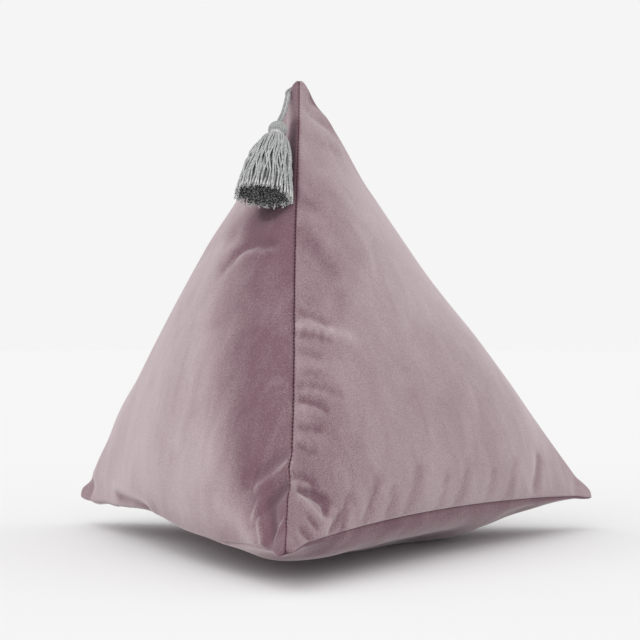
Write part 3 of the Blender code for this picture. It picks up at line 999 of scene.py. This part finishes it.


# "litTipsFrom" is how far along a strand its paler end, painted light on the cut tips, begins
def yarnMaterial(name, light, dark, pitch, twist=0.9, litTipsFrom=1.0):
    material, shader = startMaterial(name)
    ply = addNode(shader, "Attribute", attribute_name="ply").outputs["Vector"]
    split = addNode(shader, "SeparateXYZ", {0: ply}).outputs
    # Painted shade along the twist: light on the crests of the plies, dark between them
    angle = maths(shader, "ARCTAN2", split[1], split[0])
    wound = maths(shader, "MULTIPLY_ADD", split[2], 2 * math.pi / pitch, angle)
    rise = maths(shader, "ABSOLUTE", maths(shader, "SINE", wound))
    place = addNode(shader, "TexCoord").outputs["Object"]
    fibres = addNode(shader, "TexNoise", {"Vector": place, "Scale": 2600, "Detail": 2}).outputs["Fac"]
    patches = addNode(shader, "TexNoise", {"Vector": place, "Scale": 420, "Detail": 2}).outputs["Fac"]
    fuzz = maths(shader, "MULTIPLY_ADD", fibres, 1.0, 0.1 - twist)
    share = maths(shader, "MULTIPLY_ADD", rise, twist, fuzz)
    share = maths(shader, "ADD", share, maths(shader, "MULTIPLY_ADD", patches, 0.8, -0.4))
    colour = blendColours(shader, addNode(shader, "Clamp", {"Value": share}).outputs[0], dark, light)
    litTips = smoothStep(shader, split[2], litTipsFrom, litTipsFrom + 0.004, 0.0, 0.6)
    colour = blendColours(shader, litTips, colour, (0.80, 0.80, 0.79))
    plug(shader, "Base Color", colour)
    shader.inputs["Roughness"].default_value = 0.75
    shader.inputs["Sheen Weight"].default_value = 0.3
    shader.inputs["Sheen Roughness"].default_value = 0.4
    height = maths(shader, "MULTIPLY_ADD", fibres, 0.35, rise)
    bump = addNode(shader, "Bump", {"Strength": 0.6, "Distance": 0.0003, "Height": height})
    plug(shader, "Normal", bump.outputs[0])
    return material


# Painted shade on the cut ends of the light strands: nearly black, with light flecks of painted light
# on the fibre tips
def cutEndShadeMaterial():
    material, shader = startMaterial("cut_yarn_shade")
    place = addNode(shader, "TexCoord").outputs["Object"]
    flecks = addNode(shader, "TexNoise", {"Vector": place, "Scale": 950, "Detail": 3}).outputs["Fac"]
    share = smoothStep(shader, flecks, 0.54, 0.66)
    plug(shader, "Base Color", blendColours(shader, share, (0.012, 0.011, 0.012), (0.22, 0.22, 0.22)))
    shader.inputs["Roughness"].default_value = 0.95
    return material


# Each yarn's light colour and its darker colour, painted shade between the plies of its twist, and the
# pitch of its twist
skirtYarn = yarnMaterial("yarn", (0.90, 0.905, 0.90), (0.21, 0.215, 0.215), 0.0032, litTipsFrom=0.0575)
shadedInnerYarn = yarnMaterial("shaded_inner_yarn", (0.40, 0.405, 0.40), (0.09, 0.092, 0.092), 0.0032)
headYarn = yarnMaterial("head_yarn", (0.54, 0.545, 0.54), (0.17, 0.175, 0.175), 0.0036, twist=0.35)
bindingYarn = yarnMaterial("binding_yarn", (0.72, 0.72, 0.715), (0.34, 0.34, 0.34), 0.003, twist=0.3)
cordYarn = yarnMaterial("cord_yarn", (0.60, 0.59, 0.60), (0.17, 0.165, 0.17), 0.0032)


# Half width and half depth of the skirt, at a share of its length
def skirtWidths(share):
    for (low, width, depth), (high, nextWidth, nextDepth) in zip(skirtProfile, skirtProfile[1:]):
        if share <= high:
            way = (share - low) / (high - low)
            return width + (nextWidth - width) * way, depth + (nextDepth - depth) * way
    return skirtProfile[-1][1:]


# Route of a strand that starts at a share "out" of the skirt's width
def strandPath(out, angle, chance):
    wholeTurn = 2 * math.pi
    lock = round(angle / wholeTurn * tassel["locks"]) * wholeTurn / tassel["locks"]
    waveAside, waveIn = chance.uniform(0, wholeTurn), chance.uniform(0, wholeTurn)
    bendIn, bendAside = chance.uniform(0.2, 0.9), chance.uniform(0.3, 1.2)
    longer = chance.uniform(-tassel["uneven"], tassel["uneven"])
    longer += (tassel["longerBehind"] * max(0.0, out * math.sin(angle))
               + tassel["longerRight"] * max(0.0, out * math.cos(angle) - 0.6))
    path = []
    for share in tassel["levels"]:
        width, depth = skirtWidths(share)
        gathered = (lock - angle) * tassel["gathering"] * math.sin(math.pi * min(share * 1.1, 1))
        x, y = out * math.cos(angle + gathered), out * math.sin(angle + gathered)
        if y > 0:
            y *= 1 - tassel["flattening"] * share
        swing = tassel["wave"] * math.sin(math.pi * share) + tassel["spread"] * share
        aside = bendAside * swing * math.sin(waveAside + 10 * share)
        x = x * width - tassel["bow"] * math.sin(math.pi * share) + aside
        y = y * depth + bendIn * swing * math.sin(waveIn + 7 * share)
        path.append(inTassel(x, y, tassel["tucked"] - share * (tassel["length"] + longer)))
    return path


# The plies of a strand open at its cut end
def frayStrand(bm, path, chance):
    onward = (path[-1] - path[-2]).normalized()
    for ply in range(tassel["plies"]):
        angle = chance.uniform(0, 2 * math.pi)
        aside = acrossTassel * math.cos(angle) + acrossTassel.cross(onward) * math.sin(angle)
        fray = [path[-1] + aside * spread + onward * along for spread, along in tassel["fray"]]
        drawYarn(bm, fray, tassel["plyRadii"], 4, run=tassel["length"] * 0.97)


def makeSkirt():
    chance = random.Random(5)
    bm = startYarn()
    radii = [tassel["strandRadius"] * min(1, 0.6 + 2.2 * share) for share in tassel["levels"]]
    for number in range(tassel["strands"]):
        out = math.sqrt((number + 0.5) / tassel["strands"])
        path = strandPath(out, number * tassel["strandTurn"], chance)
        # Inner strands get the darker copy of the yarn, painted shade, and no frayed end
        shows = out > tassel["outer"]
        drawYarn(bm, path, radii, 7, phase=chance.uniform(0, 2 * math.pi), litOrShaded=0 if shows else 2)
        if shows:
            frayStrand(bm, path, chance)
    skirt = makePiece("tassel_skirt", bm, skirtYarn)
    skirt.data.materials.append(cutEndShadeMaterial())
    skirt.data.materials.append(shadedInnerYarn)
    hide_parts("tassel")
    print("skirt made:", len(skirt.data.polygons), "faces")


head = {
    "yarns": 28,
    "yarnRadius": 0.00092,  # where the head is widest, and less towards its ends
    "leastRadius": 0.0004,
    "widest": 0.0077,
    "taper": 0.0012,  # added to a yarn's place, so that it thins less than the head does
    "yarnInset": 0.0008,  # of a yarn's middle under the outside of the head
    "coreInset": 0.0010,
}


# Yarns laid side by side from the neck up over the head
def makeHead():
    bm = startYarn()
    profile = [Vector((radius - head["yarnInset"], 0, height)) for height, radius in headProfile]
    profile = smoothPath(profile, 2)
    radii = []
    for place in profile:
        radius = head["yarnRadius"] * (place.x + head["taper"]) / head["widest"]
        radii.append(max(head["leastRadius"], radius))
    for number in range(head["yarns"]):
        angle = 2 * math.pi * number / head["yarns"]
        path = []
        for place in profile:
            path.append(inTassel(place.x * math.cos(angle), place.x * math.sin(angle), place.z))
        drawYarn(bm, path, radii, 8, phase=number * 2.4)
    piece = makePiece("tassel_head", bm, headYarn)
    print("head made:", len(piece.data.polygons), "faces")


# The inside of the head, dark as painted shade between its yarns, spun from the same profile
def makeShadedHeadCore():
    bm = bmesh.new()
    verts = [bm.verts.new((0, 0, headProfile[0][0]))]
    verts += [bm.verts.new((radius - head["coreInset"], 0, height)) for height, radius in headProfile]
    verts.append(bm.verts.new((0, 0, headProfile[-1][0])))
    edges = [bm.edges.new(pair) for pair in zip(verts, verts[1:])]
    bmesh.ops.spin(
        bm, geom=verts + edges, axis=(0, 0, 1), cent=(0, 0, 0),
        steps=24, angle=2 * math.pi, use_merge=True,
    )
    bmesh.ops.remove_doubles(bm, verts=bm.verts[:], dist=1e-6)
    bmesh.ops.recalc_face_normals(bm, faces=bm.faces[:])
    for vert in bm.verts:
        vert.co = inTassel(*vert.co)
    for face in bm.faces:
        face.smooth = True
    material, shader = startMaterial("shaded_head_core")
    shader.inputs["Base Color"].default_value = (0.12, 0.12, 0.12, 1)
    shader.inputs["Roughness"].default_value = 0.9
    makePiece("shaded_head_core", bm, material)


binding = {
    "turns": 3.1,
    "steps": 120,
    "radius": 0.0057,
    "from": 0.0008,  # height above the neck
    "rise": 0.0023,
    "yarnRadius": 0.00052,
}


def makeBinding():
    bm = startYarn()
    path = []
    for step in range(binding["steps"] + 1):
        angle = 2 * math.pi * binding["turns"] * step / binding["steps"] - math.pi / 2
        height = binding["from"] + binding["rise"] * step / binding["steps"]
        x, y = binding["radius"] * math.cos(angle), binding["radius"] * math.sin(angle)
        path.append(inTassel(x, y, height))
    drawYarn(bm, path, [binding["yarnRadius"]] * len(path), 8)
    piece = makePiece("neck_binding", bm, bindingYarn)
    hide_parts("tassel_binding")
    print("binding made:", len(piece.data.polygons), "faces")


# A doubled cord: both ends are sewn into the side seam. Its legs part above the neck, at
# "parting", and its bend lies inside the head
hangingLoop = {
    "diameter": 0.0022,
    "spacing": 0.0025,  # between the legs
    "pitch": 0.0040,  # of the twist
    "bend": 0.0047,
    "parting": 0.0170,
    "guide": 0.008,  # how far below the parting the legs' curve is guided from
    "sewnIn": Vector((-0.0190, 0.0030, 0.3695)),
}
loopRoute = [
    Vector((-0.0269, -0.0245, 0.3446)),
    Vector((-0.0258, -0.0145, 0.3530)),
    Vector((-0.0254, -0.0060, 0.3602)),
    Vector((-0.0251, -0.0003, 0.3655)),
]


# Half width and height of the bend in the head: the legs swing apart, then turn round
def loopBend():
    half, bend, parting = hangingLoop["spacing"] / 2, hangingLoop["bend"], hangingLoop["parting"]
    lean = math.acos((half + bend) / (2 * bend))
    swing = []
    for step in range(1, 7):
        angle = lean * step / 6
        swing.append((half + bend - bend * math.cos(angle), parting - bend * math.sin(angle)))
    turnHeight = parting - 2 * bend * math.sin(lean)
    bottom = []
    for step in range(1, 24):
        angle = lean - (math.pi + 2 * lean) * step / 24
        bottom.append((bend * math.cos(angle), turnHeight + bend * math.sin(angle)))
    return swing + bottom + [(-x, z) for x, z in reversed(swing)]


def makeLoop():
    parting = hangingLoop["parting"]
    guide = inTassel(0, 0, parting - hangingLoop["guide"])
    leg = smoothPath([guide, inTassel(0, 0, parting), *loopRoute, hangingLoop["sewnIn"]], 12)[12:-5]
    apart = tasselTurn @ Vector((hangingLoop["spacing"] / 2, 0, 0))
    path = [place + apart for place in reversed(leg)]
    path += [inTassel(x, 0, z) for x, z in loopBend()]
    path += [place - apart for place in leg]
    path = smoothPath(path, 2)
    bm = startYarn()
    radii = [hangingLoop["diameter"] / 2] * len(path)
    drawYarn(bm, path, radii, 16, lobe=0.24, lobePitch=hangingLoop["pitch"])
    loop = makePiece("hanging_loop", bm, cordYarn)
    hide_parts("tassel_loop")


makeSkirt()
makeHead()
makeShadedHeadCore()
makeBinding()
makeLoop()


# Floor, background and soft light from the upper left
studio = {"paper": 0.87, "paperRadius": 9, "ambient": 0.64, "backdrop": 0.913}

bm = bmesh.new()
bmesh.ops.create_circle(bm, cap_ends=True, segments=96, radius=studio["paperRadius"])
floorMesh = bpy.data.meshes.new("floor")
bm.to_mesh(floorMesh)
bm.free()
floor = bpy.data.objects.new("floor", floorMesh)
scene.collection.objects.link(floor)
floorMaterial, floorShader = startMaterial("floor")
floorShader.inputs["Base Color"].default_value = (studio["paper"],) * 3 + (1,)
floorShader.inputs["Roughness"].default_value = 1.0
floorShader.inputs["Specular IOR Level"].default_value = 0.0
floorMesh.materials.append(floorMaterial)


def addSun(name, strength, azimuth, elevation, spread):
    data = bpy.data.lights.new(name, "SUN")
    data.energy = strength
    data.angle = math.radians(spread)
    sun = bpy.data.objects.new(name, data)
    sun.rotation_euler = (math.radians(90 - elevation), 0, math.radians(azimuth))
    scene.collection.objects.link(sun)


addSun("key", strength=1.36, azimuth=-40, elevation=45, spread=70)
addSun("fill", strength=0.72, azimuth=60, elevation=30, spread=90)

world = bpy.data.worlds.new("studio")
world.use_nodes = True
scene.world = world
background = world.node_tree.nodes["Background"]
background.inputs["Color"].default_value = (1, 1, 1, 1)
rays = world.node_tree.nodes.new("ShaderNodeLightPath")
level = world.node_tree.nodes.new("ShaderNodeMapRange")
level.inputs["To Min"].default_value = studio["ambient"]
level.inputs["To Max"].default_value = studio["backdrop"]
world.node_tree.links.new(rays.outputs["Is Camera Ray"], level.inputs["Value"])
world.node_tree.links.new(level.outputs["Result"], background.inputs["Strength"])
scene.view_settings.view_transform = "Standard"
print("studio lit")
